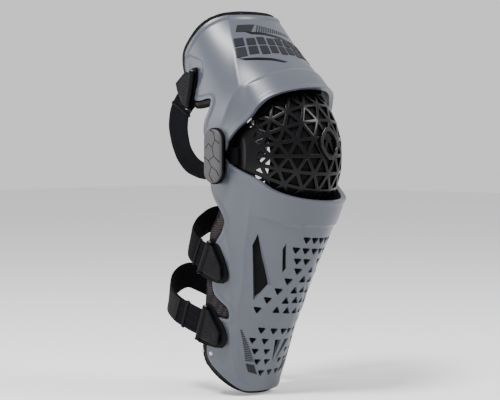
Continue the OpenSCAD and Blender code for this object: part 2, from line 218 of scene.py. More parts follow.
def smooth(o, angle=38):
    me = o.data
    for p in me.polygons:
        p.use_smooth = True
    bm = bmesh.new()
    bm.from_mesh(me)
    lim = math.radians(angle)
    for e in bm.edges:
        e.smooth = not (len(e.link_faces) == 2 and e.calc_face_angle(0) > lim)
    bm.to_mesh(me)
    bm.free()


def weighted(o):
    m = o.modifiers.new("w", "WEIGHTED_NORMAL")
    m.keep_sharp = True
    m.weight = 60


def finish(o, body, mat, replaces=(), angle=38, wn=True):
    """Scales a mesh built in mm to metres and ties it to its body."""
    me = o.data
    n = len(me.vertices)
    co = np.empty(n * 3)
    me.vertices.foreach_get("co", co)
    me.vertices.foreach_set("co", co * 0.001)
    me.update()
    smooth(o, angle)
    if wn:
        weighted(o)
        bake(o)
    o.data.materials.clear()
    o.data.materials.append(mat)
    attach(o, body)
    if replaces:
        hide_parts(*replaces)
    return o


def closed_grid(outer, inner):
    nh, nc, _ = outer.shape
    V = np.concatenate([outer.reshape(-1, 3), inner.reshape(-1, 3)])
    N = nh * nc
    i, j = np.meshgrid(np.arange(nh - 1), np.arange(nc - 1), indexing="ij")
    a = (i * nc + j).ravel()
    F = [(q, q + 1, q + nc + 1, q + nc) for q in a]
    F += [(N + q, N + q + nc, N + q + nc + 1, N + q + 1) for q in a]
    for q in range(nc - 1):
        F.append((q, N + q, N + q + 1, q + 1))
        r = (nh - 1) * nc + q
        F.append((r, r + 1, N + r + 1, N + r))
    for q in range(nh - 1):
        r = q * nc
        F.append((r, r + nc, N + r + nc, N + r))
        r = q * nc + nc - 1
        F.append((r, N + r, N + r + nc, r + nc))
    return V, F


def prism(P, x0, x1, up):
    """Side outline (forward, along) extruded across the guard, in local (x, y, z)."""
    n = len(P)
    V = [(x0, -p[0], up * p[1]) for p in P] + [(x1, -p[0], up * p[1]) for p in P]
    F = [tuple(range(n)), tuple(range(2 * n - 1, n - 1, -1))] + [(i, i + n, (i + 1) % n + n, (i + 1) % n) for i in range(n)]
    o = new("cutter", V, F)
    fix(o)
    return o


def loft(rings):
    """Closed solid through rings of equal length."""
    n = len(rings[0])
    V = [p for r in rings for p in r]
    F = [tuple(range(n)), tuple(range((len(rings) - 1) * n + n - 1, (len(rings) - 1) * n - 1, -1))]
    for k in range(len(rings) - 1):
        F += [(k * n + i, k * n + (i + 1) % n, (k + 1) * n + (i + 1) % n, (k + 1) * n + i) for i in range(n)]
    F[0] = tuple(reversed(F[0]))
    F[1] = tuple(reversed(F[1]))
    return outward(V, F)


def merge(name, parts):
    V, F = [], []
    for v, f in parts:
        k = len(V)
        V += [tuple(p) for p in v]
        F += [tuple(i + k for i in q) for q in f]
    return new(name, V, F)


def even(limb, h, p0, p1, n):
    """Angles spaced evenly along the section at h."""
    p = np.linspace(p0, p1, 4000)
    x, f = limb.surf(p, np.full_like(p, h), 0.0)
    s = np.concatenate([[0], np.cumsum(np.hypot(np.diff(x), np.diff(f)))])
    return np.interp(np.linspace(0, s[-1], n), s, p)


def place(o, limb):
    a = -limb.lean if limb.up > 0 else limb.lean
    me = o.data
    n = len(me.vertices)
    co = np.empty(n * 3)
    me.vertices.foreach_get("co", co)
    co = co.reshape(-1, 3)
    y, z = co[:, 1].copy(), co[:, 2].copy()
    co[:, 1] = y * math.cos(a) - z * math.sin(a)
    co[:, 2] = y * math.sin(a) + z * math.cos(a) + limb.z0
    me.vertices.foreach_set("co", co.ravel())
    me.update()


def sheet(name, limb, outline, h0, h1, nh, p0, p1, nc, off_out, off_in, rounds=3):
    h = np.linspace(h0, h1, nh)
    p = even(limb, (h0 + h1) / 2, math.radians(p0), math.radians(p1), nc)
    H, Pp = np.meshgrid(h, p, indexing="ij")
    x0, f0 = limb.surf(Pp, H, 0.0)
    oo = off_out(x0, f0, H) if callable(off_out) else off_out
    oi = off_in(x0, f0, H) if callable(off_in) else off_in
    xo, fo = limb.surf(Pp, H, oo)
    xi, fi = limb.surf(Pp, H, oi)
    V, F = closed_grid(np.stack([xo, -fo, limb.up * H], -1), np.stack([xi, -fi, limb.up * H], -1))
    o = new(name, V, F)
    fix(o)
    if outline is not None:
        boolean(o, prism(cut(outline, rounds), -95, 95, limb.up), "INTERSECT")
    return o


# ------------------------------------------------------------------ materials
def material(name, color, rough, metallic=0.0, spread=0.06, scale=60.0, bump=0.02, bump_scale=900.0, coat=0.0, extra=None, spec=0.5):
    m = bpy.data.materials.new(name)
    m.use_nodes = True
    nt = m.node_tree
    b = nt.nodes["Principled BSDF"]
    b.inputs["Metallic"].default_value = metallic
    b.inputs["Roughness"].default_value = rough
    b.inputs["Coat Weight"].default_value = coat
    b.inputs["Coat Roughness"].default_value = 0.2
    b.inputs["Specular IOR Level"].default_value = spec
    tc = nt.nodes.new("ShaderNodeTexCoord")
    n1 = nt.nodes.new("ShaderNodeTexNoise")
    n1.inputs["Scale"].default_value = scale
    n1.inputs["Detail"].default_value = 4
    nt.links.new(tc.outputs["Object"], n1.inputs["Vector"])
    cr = nt.nodes.new("ShaderNodeValToRGB")
    lo = [max(0, c * (1 - spread)) for c in color]
    hi = [min(1, c * (1 + spread)) for c in color]
    cr.color_ramp.elements[0].position, cr.color_ramp.elements[1].position = 0.3, 0.7
    cr.color_ramp.elements[0].color = (*lo, 1)
    cr.color_ramp.elements[1].color = (*hi, 1)
    nt.links.new(n1.outputs["Fac"], cr.inputs["Fac"])
    col_out = cr.outputs["Color"]
    height = None
    n2 = nt.nodes.new("ShaderNodeTexNoise")
    n2.inputs["Scale"].default_value = bump_scale
    n2.inputs["Detail"].default_value = 2
    nt.links.new(tc.outputs["Object"], n2.inputs["Vector"])
    height = n2.outputs["Fac"]
    if extra:
        col_out, height = extra(nt, tc, col_out, height)
    bp = nt.nodes.new("ShaderNodeBump")
    bp.inputs["Strength"].default_value = bump
    bp.inputs["Distance"].default_value = 0.001
    nt.links.new(height, bp.inputs["Height"])
    nt.links.new(bp.outputs["Normal"], b.inputs["Normal"])
    nt.links.new(col_out, b.inputs["Base Color"])
    return m


def weave(period, dark):
    """Over-under cloth pattern from two crossed waves, in object space."""
    def extra(nt, tc, col, height):
        waves = []
        for d in ("X", "Z"):
            w = nt.nodes.new("ShaderNodeTexWave")
            w.wave_type, w.bands_direction, w.wave_profile = "BANDS", d, "SIN"
            w.inputs["Scale"].default_value = 0.314159 / (period * 0.001)
            w.inputs["Distortion"].default_value = 0.3
            nt.links.new(tc.outputs["Object"], w.inputs["Vector"])
            waves.append(w)
        mx = nt.nodes.new("ShaderNodeMath")
        mx.operation = "MULTIPLY"
        nt.links.new(waves[0].outputs["Fac"], mx.inputs[0])
        nt.links.new(waves[1].outputs["Fac"], mx.inputs[1])
        mixc = nt.nodes.new("ShaderNodeMix")
        mixc.data_type = "RGBA"
        mixc.inputs["A"].default_value = (*dark, 1)
        nt.links.new(mx.outputs[0], mixc.inputs["Factor"])
        nt.links.new(col, mixc.inputs["B"])
        return mixc.outputs["Result"], mx.outputs[0]
    return extra


def ribbed(period, dark):
    """Webbing: ribs along the band and fine cross threads, from its UVs in mm."""
    def extra(nt, tc, col, height):
        ws = []
        for d, per, dist in (("X", period, 0.0), ("Y", period * 1.6, 0.6)):
            w = nt.nodes.new("ShaderNodeTexWave")
            w.wave_type, w.bands_direction, w.wave_profile = "BANDS", d, "SIN"
            w.inputs["Scale"].default_value = 0.314 / per
            w.inputs["Distortion"].default_value = dist
            nt.links.new(tc.outputs["UV"], w.inputs["Vector"])
            ws.append(w)
        mx = nt.nodes.new("ShaderNodeMath")
        mx.operation = "MULTIPLY"
        nt.links.new(ws[0].outputs["Fac"], mx.inputs[0])
        nt.links.new(ws[1].outputs["Fac"], mx.inputs[1])
        mixc = nt.nodes.new("ShaderNodeMix")
        mixc.data_type = "RGBA"
        mixc.inputs["A"].default_value = (*dark, 1)
        nt.links.new(mx.outputs[0], mixc.inputs["Factor"])
        nt.links.new(col, mixc.inputs["B"])
        return mixc.outputs["Result"], mx.outputs[0]
    return extra


M_GLOSS = material("emblem_gloss", (0.004, 0.004, 0.005), 0.16, spread=0.1, coat=0.25, spec=0.3)
M_SHELL = material("shell_grey", (0.054, 0.0595, 0.077), 0.35, spread=0.04, scale=22, bump=0.05, bump_scale=1400)
M_CUP = material("cup_black", (0.002, 0.002, 0.0026), 0.24, spread=0.15, bump=0.03, bump_scale=900, spec=0.17)
M_BLACK = material("clip_black", (0.0028, 0.0028, 0.0033), 0.5, spread=0.15, bump=0.06, bump_scale=1200, spec=0.07)
M_LEVER = material("lever_dark", (0.0036, 0.0036, 0.0044), 0.42, spread=0.1, bump=0.06, bump_scale=1200, spec=0.1)
M_CAP = material("cap_grey", (0.033, 0.031, 0.034), 0.55, spread=0.05, bump=0.08, bump_scale=1500)
M_LINE = material("cap_line", (0.006, 0.006, 0.006), 0.6, spec=0.1)
M_STEEL = material("pin_steel", (0.42, 0.43, 0.45), 0.38, metallic=1.0, spread=0.04, bump=0.03)
M_NYLON = material("washer_nylon", (0.012, 0.012, 0.013), 0.6, spec=0.3)
M_LINER = material("liner_weave", (0.036, 0.031, 0.032), 0.85, spread=0.12, bump=0.5, extra=weave(2.4, (0.013, 0.011, 0.012)), spec=0.1)
# black cloth for the liner's bound edge and the knee pad's face, also used as painted shade on the liner's front behind
# the vents
M_BLACK_CLOTH_AND_VENT_SHADE = material("black_cloth_and_vent_shade", (0.005, 0.005, 0.0055), 0.8, spread=0.12, bump=0.3, bump_scale=700, spec=0.06)
M_PAD = material("pad_cloth", (0.03, 0.03, 0.034), 0.9, spread=0.15, bump=0.5, extra=weave(2.4, (0.012, 0.012, 0.014)), spec=0.08)
M_WEB = material("strap_web", (0.0055, 0.0055, 0.008), 0.85, spread=0.2, bump=0.5, extra=ribbed(1.4, (0.002, 0.002, 0.003)), spec=0.07)
M_TAB = material("strap_tab", (0.006, 0.006, 0.0075), 0.6, spread=0.1, bump=0.1, bump_scale=1000, spec=0.08)
M_STITCH = material("stitch", (0.008, 0.008, 0.011), 0.8, spec=0.08)
M_BADGE = material("badge_dark", (0.013, 0.013, 0.016), 0.45, spread=0.08, spec=0.12)

# ------------------------------------------------------------------ thigh shell
T_OUT, TL_OUT = cut(THIGH_SIDE, 3), cut(THIGH_LINER, 3)
S_OUT, SL_OUT = cut(SHIN_SIDE, 3), cut(SHIN_LINER, 3)
T_CREASE = [[42, 130], [44, 110], [46, 80], [45, 56], [44, 42], [27, 27], [10, 9]]
CLIP_PATCH = cut([[-24, 104], [-4, 103], [8, 92], [13, 88], [12, 79], [5, 68], [-8, 62], [-24, 60]], 1)


def thigh_disp(x, f, h):
    """How far the moulded relief stands out of the plain thigh surface."""
    d = poly_dist(T_OUT, f, h)
    front = step(f, 0, 6)
    out = 0.85 * (1 - step(np.abs(d), 3.2, 5.2))
    c = line_dist(T_CREASE, f, h)
    out = out + 1.6 * np.exp(-np.abs(c) / 6.5) * step(h, 8, 26)
    hc = 46.5 - 0.0016 * x * x
    ring = (1 - step(h, hc - 2.2, hc + 0.4)) * step(f, 46, 54)
    out = out + 1.3 * ring * step(f, 44, 60)
    out = out - 1.1 * step(poly_dist(CLIP_PATCH, f, h), -0.6, 1.2)
    return out


S_WING = [[8, 40], [14, 59], [22, 82], [24, 112], [25, 147], [27, 177], [32, 212], [38, 232]]
S_RIDGE = [[42, 20], [40, 51], [37, 77], [36, 110], [32, 145], [33, 176], [34, 198], [40, 225]]


def shin_disp(x, f, h):
    d = poly_dist(S_OUT, f, h)
    out = 0.8 * (1 - step(np.abs(d), 3.0, 5.0))
    out = out + 1.7 * np.exp(-np.abs(line_dist(S_WING, f, h)) / 4.5) * step(h, 40, 60)
    out = out + 1.9 * np.exp(-np.abs(line_dist(S_RIDGE, f, h)) / 5.0) * step(h, 18, 44)
    hc = 42.0 - 0.0009 * x * x + 3.0 * np.exp(-((np.abs(x) - 37) / 14) ** 2)
    out = out + 1.9 * (1 - step(h, hc - 1.6, hc + 0.4)) * step(f, 34, 58) * (1 - 0.3 * step(h, 20, 0))
    ax = np.abs(x)
    # raised diagonal strips that cross the vent field
    c0 = -0.0 + ax * 0 + (h - 87) / (147 - 87) * (24 + 6) - 6
    c1 = (h - 79) / (133 - 79) * (33 - 12) + 12
    strip = step(ax, c0 - 0.6, c0 + 0.8) * (1 - step(ax, c1 - 0.8, c1 + 0.6)) * step(h, 84, 92) * (1 - step(h, 136, 146))
    out = out + 0.9 * strip
    dome = np.exp(-(((ax - 19) / 10) ** 2 + ((h - 149) / 4.0) ** 2) ** 2)
    out = out + 0.7 * dome
    return out


thigh = sheet("thigh_shell_skin", THIGH, THIGH_SIDE, -17, 135, 112, -109, 109, 190, lambda x, f, h: -thigh_disp(x, f, h), 3.0)
for s in (-1, 1):
    # round arm ends at the hinge pivot
    n = 56
    ring = lambda r, xx: [(s * xx, r * math.cos(2 * math.pi * k / n), r * math.sin(2 * math.pi * k / n)) for k in range(n)]
    v, fcs = loft([ring(14.2, 68.2), ring(14.2, 71.6)])
    c = new("disc", v, fcs)
    fix(c)
    boolean(thigh, c, "UNION")
bevel(thigh, 0.7, 2, 42)
place(thigh, THIGH)
finish(thigh, "thigh", M_SHELL, ("thigh_shell",), 34)

# ------------------------------------------------------------------ shin shell with its vents
shin = sheet("shin_shell_skin", SHIN, SHIN_SIDE, -17, 237, 170, -107, 107, 190, lambda x, f, h: -shin_disp(x, f, h), 3.0)
for s in (-1, 1):
    ring = lambda r, xx: [(s * xx, r * math.cos(2 * math.pi * k / n), r * math.sin(2 * math.pi * k / n)) for k in range(n)]
    v, fcs = loft([ring(14.2, 64.2), ring(14.2, 67.9)])
    c = new("disc", v, fcs)
    fix(c)
    boolean(shin, c, "UNION")

DOWN = [(0, 57), (8.5, 57), (17, 57), (4.5, 69), (14, 69), (23, 69), (9, 81), (18, 81), (14, 92), (19, 104), (24, 116), (30, 127),
        (35, 139), (4.5, 161), (15.5, 161), (27, 161), (21, 173), (32, 173), (15, 185), (27, 185), (10, 197), (21, 197), (0, 210), (12, 210)]
UP = [(0, 91), (5, 102), (0, 114), (9.5, 115), (4.5, 126), (14.5, 127), (0, 138), (10, 138), (20, 138)]
parts = []


def vent(x, h, turn, size=1.0):
    """Tapered three-sided hole, cut square to the surface at (x, h)."""
    f0 = float(SHIN.front(abs(x), h))
    df = (float(SHIN.front(abs(x) + 1, h)) - float(SHIN.front(max(abs(x) - 1, 0), h))) / 2 * (1 if x >= 0 else -1)
    L = math.hypot(1, df)
    t, nrm = (1 / L, df / L), (-df / L, 1 / L)
    rings = []
    for off, r in ((4.0, 5.7), (0.6, 4.95), (-1.7, 4.0), (-8.0, 3.9)):
        rr = r * size
        pts = []
        for a in (90, 210, 330):
            for e in (-8, 8):
                bb = math.radians((a + e) * turn)
                p, q = rr * math.cos(bb), rr * math.sin(bb)
                pts.append((x + p * t[0] + off * nrm[0], -(f0 + p * t[1] + off * nrm[1]), -h + q))
        rings.append(pts)
    return loft(rings)


for x, h in DOWN:
    for s in ((-1, 1) if x else (1,)):
        parts.append(vent(s * x, h, -1, 0.95 if h < 165 else 0.88))
for x, h in UP:
    for s in ((-1, 1) if x else (1,)):
        parts.append(vent(s * x, h, 1, 0.94 if h > 100 else 0.76))


def slot_cut(s, deg, outer, inner, r0, r1, h0, h1):
    """A tapered slot cut square to the shell, in the frame turned by deg from the front."""
    d = math.radians(deg)
    u = (s * math.cos(d), math.sin(d))
    w = (s * math.sin(d), -math.cos(d))
    rings = []
    for P, off in ((outer, 5.0), (outer, 0.7), (inner, -3.1), (inner, -9.0)):
        ring = []
        for q, h in P:
            R = r0 + (r1 - r0) * (h - h0) / (h1 - h0) + off
            ring.append((q * u[0] + R * w[0], q * u[1] + R * w[1], -h))
        rings.append(ring)
    return loft(rings)


for s in (-1, 1):
    parts.append(slot_cut(s, 50, [[-5.5, 57], [-1.2, 70], [-9.5, 129], [-27, 112.5]],
                          [[-5.6, 60], [-2.0, 70], [-10.2, 124], [-20.5, 109]], 68.7, 60.2, 65, 120))
    parts.append(slot_cut(s, 35, [[-15.7, 62.5], [-12.8, 69], [-17.4, 98.5], [-23.4, 91.5]],
                          [[-15.7, 64.5], [-13.5, 69.5], [-17.8, 95.5], [-20.2, 90.5]], 79.5, 74.5, 65, 95))
    W = [[2.5, 171], [11, 171], [1.8, 199]]
    Wi = [[3.4, 171.8], [9.2, 171.8], [2.1, 195]]
    rings = []
    for P, off in ((W, 6.0), (W, 0.8), (Wi, -3.0), (Wi, -9.0)):
        rings.append([(s * q, -(float(SHIN.front(q, h)) + off), -h) for q, h in P])
    parts.append(loft(rings))
for k in range(6):
    # neighbours overlap outside the shell, so they are cut in turn
    cutter = merge("vents", parts[k::6])
    fix(cutter)
    boolean(shin, cutter, "DIFFERENCE")
bevel(shin, 0.55, 2, 42)
place(shin, SHIN)
finish(shin, "shin", M_SHELL, ("shin_shell",), 34)


# ------------------------------------------------------------------ liners: mesh cloth with a bound edge that stands level with the shell
def liner_off(shell_outline, own_outline, proud):
    def off(x, f, h):
        d = poly_dist(shell_outline, f, h)
        e = poly_dist(own_outline, f, h)
        lift = proud * (1 - step(d, -1.6, -0.3))
        edge = np.sqrt(np.clip(1 - ((2.6 - np.clip(e, 0, 2.6)) / 2.6) ** 2, 0, 1))
        return 3.35 - lift * (0.35 + 0.65 * edge)
    return off


tl = sheet("thigh_liner_cloth", THIGH, THIGH_LINER, 24, 140, 90, -112, 112, 150, liner_off(T_OUT, TL_OUT, 3.3), 5.8)
bevel(tl, 0.8, 3, 45)
place(tl, THIGH)
finish(tl, "thigh", M_LINER, ("thigh_liner",), 45)
sl = sheet("shin_liner_cloth", SHIN, SHIN_LINER, 8, 241, 150, -112, 112, 150, liner_off(S_OUT, SL_OUT, 2.6), 5.8)
bevel(sl, 0.8, 3, 45)
place(sl, SHIN)
finish(sl, "shin", M_LINER, ("shin_liner",), 45)


def black_edge_and_vent_shade(o, limb, outline, vent_shade_f_min):
    """The liner's bound edge is black cloth; its front, seen only through the vents, is painted black as painted shade
    inside the vents.
    """
    me = o.data
    me.materials.append(M_BLACK_CLOTH_AND_VENT_SHADE)
    a = -(-limb.lean if limb.up > 0 else limb.lean)
    C = np.empty(len(me.polygons) * 3)
    me.polygons.foreach_get("center", C)
    C = C.reshape(-1, 3) * 1000
    y, z = C[:, 1], C[:, 2] - limb.z0
    f, h = -(y * math.cos(a) - z * math.sin(a)), limb.up * (y * math.sin(a) + z * math.cos(a))
    # painted shade: faces forward of the threshold, behind the vents, go black; faces near the outline are the real
    # black bound edge
    dark = (f > vent_shade_f_min) | (poly_dist(outline, f, h) < 3.3)
    me.polygons.foreach_set("material_index", dark.astype(np.int32))


black_edge_and_vent_shade(sl, SHIN, SL_OUT, 30)
black_edge_and_vent_shade(tl, THIGH, TL_OUT, 64)


def tube(path, r, n=10, squash_=1.0):
    path = [Vector(p) for p in path]
    rings = []
    up = Vector((0.3, 0.5, 0.8)).normalized()
    for i, p in enumerate(path):
        t = (path[min(i + 1, len(path) - 1)] - path[max(i - 1, 0)]).normalized()
        a = (up - t * up.dot(t)).normalized()
        up = a
        b = t.cross(a)
        rings.append([tuple(p + a * (r * math.cos(2 * math.pi * k / n)) + b * (r * squash_ * math.sin(2 * math.pi * k / n))) for k in range(n)])
    return loft(rings)


# ------------------------------------------------------------------ pads: quilted foam under cloth
def swell(o, pins, cap, pressure=4.0, grow=0.05, frames=14):
    """Blows a pad's cloth out between its sewn lines by cloth simulation; no point moves more than cap mm."""
    sc = bpy.context.scene
    n = len(o.data.vertices)
    rest = np.empty(n * 3)
    o.data.vertices.foreach_get("co", rest)
    me = o.data.copy()
    me.vertices.foreach_set("co", rest * 0.001)
    t = bpy.data.objects.new("swelling", me)
    COL.objects.link(t)
    t.vertex_groups.new(name="pin").add([int(i) for i in pins], 1.0, "REPLACE")
    m = t.modifiers.new("c", "CLOTH")
    s = m.settings
    s.quality, s.mass, s.bending_stiffness = 6, 0.25, 0.3
    s.tension_stiffness, s.compression_stiffness, s.shear_stiffness = 12, 12, 4
    s.use_pressure, s.uniform_pressure_force = True, pressure
    s.vertex_group_mass, s.shrink_min = "pin", -grow
    s.effector_weights.gravity = 0
    m.collision_settings.use_collision = False
    m.point_cache.frame_start, m.point_cache.frame_end = 1, frames
    for k in range(1, frames + 1):
        sc.frame_set(k)
    ev = t.evaluated_get(bpy.context.evaluated_depsgraph_get())
    got = ev.to_mesh()
    now = np.empty(n * 3)
    got.vertices.foreach_get("co", now)
    ev.to_mesh_clear()
    bpy.data.objects.remove(t)
    bpy.data.meshes.remove(me)
    sc.frame_set(1)
    d = (now * 1000 - rest).reshape(-1, 3)
    L = np.linalg.norm(d, axis=1, keepdims=True)
    print("swell", o.name, "moved", round(float(L.max()), 2), "mean", round(float(L.mean()), 2))
    if np.isfinite(d).all():
        d *= cap * np.tanh(L / cap) / np.maximum(L, 1e-6)
        o.data.vertices.foreach_set("co", rest + d.ravel())
        o.data.update()


def refine(o):
    m = o.modifiers.new("s", "SUBSURF")
    m.levels = m.render_levels = 1
    bake(o)


def pad(name, limb, h0, h1, p0, p1, rows, cols, body, node, thick, nh=90, nc=120):
    h = np.linspace(h0, h1, nh)
    p = even(limb, (h0 + h1) / 2, math.radians(p0), math.radians(p1), nc)
    H, Pp = np.meshgrid(h, p, indexing="ij")
    v = (H - h0) / (h1 - h0)
    u = np.broadcast_to(np.linspace(0, 1, nc), v.shape)
    e = np.minimum(np.minimum(u * 3.0, (1 - u) * 3.0), np.minimum(v * 2.2, (1 - v) * 2.2))
    edge = np.sqrt(np.clip(1 - (1 - np.clip(e / 0.35, 0, 1)) ** 2, 0, 1))
    cu = np.abs(np.sin(np.pi * u * cols)) ** 0.42
    cv = np.abs(np.sin(np.pi * v * rows)) ** 0.42
    quilt = 0.35 + 0.65 * np.minimum(cu, cv)
    wr = 0.25 * np.sin(H * 0.9 + 6 * u) * np.sin(u * 40 + H * 0.2)
    base = 6.4
    seam = (np.abs(np.sin(np.pi * u * cols)) < 0.06) | (np.abs(np.sin(np.pi * v * rows)) < 0.06) | (edge < 0.3)
    oi = base + 1.2 + (thick * 0.72 - 1.2) * edge * quilt + wr * edge
    oo = base - 0.2 + 0.8 * (1 - edge)
    xo, fo = limb.surf(Pp, H, oo)
    xi, fi = limb.surf(Pp, H, oi)
    V, F = closed_grid(limb.world(xo, fo, H), limb.world(xi, fi, H))
    o = new(name, V, F)
    fix(o)
    N = nh * nc
    swell(o, list(range(N)) + list(N + np.flatnonzero(seam.ravel())), 2.6)
    refine(o)
    finish(o, body, M_PAD, (node,), 60)
    return o


pad("thigh_pad_cloth", THIGH, 62, 112, -72, 72, 2, 5, "thigh", "thigh_pad", 9.0, 31, 91)
pad("shin_pad_cloth", SHIN, 57, 206, -66, 66, 6, 3, "shin", "shin_pad", 9.0, 73, 64)


# ------------------------------------------------------------------ knee cup: triangulated open lattice
CUP_R, CUP_W, CUP_N = 93.0, 62.0, 2.3


def bow(x, r=CUP_R, w=CUP_W):
    return r * np.maximum(1 - (np.abs(x) / w) ** CUP_N, 0) ** (1 / CUP_N)


xs = np.linspace(-60, 60, 4001)
rs = bow(xs)
arc = np.concatenate([[0], np.cumsum(np.hypot(np.diff(xs), np.diff(rs)))])
arc -= arc[-1] / 2
HALF = arc[-1]


def cup_point(t, e, off=0.0):
    """Point of the cup at arc t across and e degrees up from the front."""
    x = np.interp(t, arc, xs)
    r = np.interp(t, arc, rs)
    i = np.clip(np.searchsorted(arc, t), 20, len(arc) - 21)
    tx, tr = xs[i + 20] - xs[i - 20], rs[i + 20] - rs[i - 20]
    L = math.hypot(tx, tr)
    nx, nr = -tr / L, tx / L
    x, r = x + nx * off, r + nr * off
    a = math.radians(e)
    return (x, -r * math.cos(a), r * math.sin(a))


ROWS, E0, E1 = 11, -58.0, 70.0
SIDE = 19.4
cols = int(HALF // SIDE)
bm = bmesh.new()
grid = []
for i in range(ROWS + 1):
    e = E0 + (E1 - E0) * i / ROWS
    ts = [k * SIDE + (SIDE / 2 if i % 2 else 0) for k in range(-cols - 2, cols + 2)]
    ts = [t for t in ts if abs(t) < HALF - 5]
    ts = [-HALF] + ts + [HALF]
    grid.append([bm.verts.new(cup_point(t, e)) for t in ts])
    grid[-1] = list(zip(ts, grid[-1]))
windows = []
for lo, hi in zip(grid[:-1], grid[1:]):
    i = j = 0
    while i < len(lo) - 1 or j < len(hi) - 1:
        if j == len(hi) - 1 or (i < len(lo) - 1 and lo[i + 1][0] <= hi[j + 1][0]):
            tri = (lo[i], lo[i + 1], hi[j])
            i += 1
        else:
            tri = (lo[i], hi[j + 1], hi[j])
            j += 1
        fc = bm.faces.new([q[1] for q in tri])
        if max(abs(q[0]) for q in tri) < HALF - 8:
            windows.append(fc)
bmesh.ops.recalc_face_normals(bm, faces=bm.faces)
bmesh.ops.inset_individual(bm, faces=windows, thickness=2.0, depth=0.0, use_even_offset=True)
bmesh.ops.delete(bm, geom=windows, context="FACES")
me = bpy.data.meshes.new("knee_cup_lattice")
bm.to_mesh(me)
bm.free()
cup = bpy.data.objects.new("knee_cup_lattice", me)
COL.objects.link(cup)
md = cup.modifiers.new("s", "SOLIDIFY")
md.thickness, md.offset = 3.2, -1
bake(cup)
fix(cup)
bevel(cup, 0.5, 2, 35)
finish(cup, "knee", M_CUP, ("knee_cup",), 30)


def stadium_ring(r, c, n=24):
    pts = []
    for k in range(n + 1):
        a = math.pi * k / n
        pts.append((r * math.cos(a), c + r * math.sin(a)))
    for k in range(n + 1):
        a = math.pi + math.pi * k / n
        pts.append((r * math.cos(a), -c + r * math.sin(a)))
    return pts


def stadium_solid(profile, c, s, y0=0.0):
    """Solid through (radius, x) steps of a stadium outline."""
    return loft([[(s * x, y0 + y, z) for y, z in stadium_ring(r, c)] for r, x in profile])


# side cheeks of the cup, between the lattice and the pivots
for s, nm in ((-1, "left"), (1, "right")):
    cheek = [(-31, 12), (-27, 21), (-16, 27), (0, 28.5), (9, 25), (13, 16), (13, -16), (9, -25), (0, -28.5), (-16, -26), (-27, -19), (-31, -10)]
    cheek = cut(cheek, 2)
    v, f = loft([[(s * 57, y, z) for y, z in cheek], [(s * 60, y, z) for y, z in cheek]])
    o = new("cup_cheek_" + nm, v, f)
    fix(o)
    bevel(o, 0.8, 2, 40)
    finish(o, "knee", M_CUP)

# rolled edge band of the cup, top and bottom
for e, nm in ((E0, "low"), (E1, "top")):
    path = [cup_point(t, e, -1.4) for t in np.linspace(-HALF + 1, HALF - 1, 90)]
    v, f = tube(path, 2.3, 12)
    o = new("cup_edge_" + nm, v, f)
    fix(o)
    finish(o, "knee", M_CUP, (), 60)

# knee pad behind the lattice
nh, nc = 61, 55
ee = np.linspace(-48, 60, nh)
xx = np.linspace(-46, 46, nc)
outer, inner = np.zeros((nh, nc, 3)), np.zeros((nh, nc, 3))
pins = list(range(nh * nc))
for i, e in enumerate(ee):
    for j, x in enumerate(xx):
        u, v = j / (nc - 1), i / (nh - 1)
        m = min(u, 1 - u, v, 1 - v)
        edge = math.sqrt(max(0.0, 1 - (1 - min(m / 0.09, 1)) ** 2))
        q = min(abs(math.sin(math.pi * u * 3)), abs(math.sin(math.pi * v * 4))) ** 0.4
        r1 = float(bow(x, CUP_R - 3.6, CUP_W - 3.6)) - 0.3 * (1 - edge)
        r0 = float(bow(x, CUP_R - 10.4, CUP_W - 10.4)) + (1 - edge) * 4.5 + (1 - q) * edge * 3.0 + 2.0 * edge
        if q < 0.38 or edge < 0.3:
            pins.append(nh * nc + i * nc + j)
        a = math.radians(e)
        outer[i, j] = (x, -r1 * math.cos(a), r1 * math.sin(a))
        inner[i, j] = (x, -r0 * math.cos(a), r0 * math.sin(a))
V, F = closed_grid(outer, inner)
kp = new("knee_pad_cloth", V, F)
fix(kp)
swell(kp, pins, 2.4)
refine(kp)
finish(kp, "knee", M_PAD, ("knee_pad",), 60)
kp.data.materials.append(M_BLACK_CLOTH_AND_VENT_SHADE)
for p in kp.data.polygons:
    # the face behind the lattice is plain black
    if p.normal.dot(Vector((p.center.x * 0.6, p.center.y, p.center.z))) > 0:
        p.material_index = 1


# raised diamond frame on the cup's front
def cup_xe(x, e, off):
    t = float(np.interp(x, xs, arc))
    return cup_point(t, e, off)


def frame_ring(outerp, innerp, off0, off1, cx=0.0, ce=8.0):
    k = len(outerp)
    deg = 57.3 / 93
    rings = []
    for P, off in ((outerp, off0), (outerp, off1), (innerp, off1), (innerp, off0)):
        rings.append([cup_xe(cx + a, ce + b * deg, off) for a, b in P])
    V = [p for r in rings for p in r]
    F = []
    for r in range(4):
        for i in range(k):
            F.append((r * k + i, ((r + 1) % 4) * k + i, ((r + 1) % 4) * k + (i + 1) % k, r * k + (i + 1) % k))
    return V, F


dia = cut([(0, 20), (13.5, 7), (13.5, -7), (0, -20), (-13.5, -7), (-13.5, 7)], 1)
o = new("knee_emblem_frame", *frame_ring(dia, dia * 0.74, -0.6, 2.1))
fix(o)
bevel(o, 0.5, 2, 35)
finish(o, "knee", M_GLOSS, ("knee_emblem",))

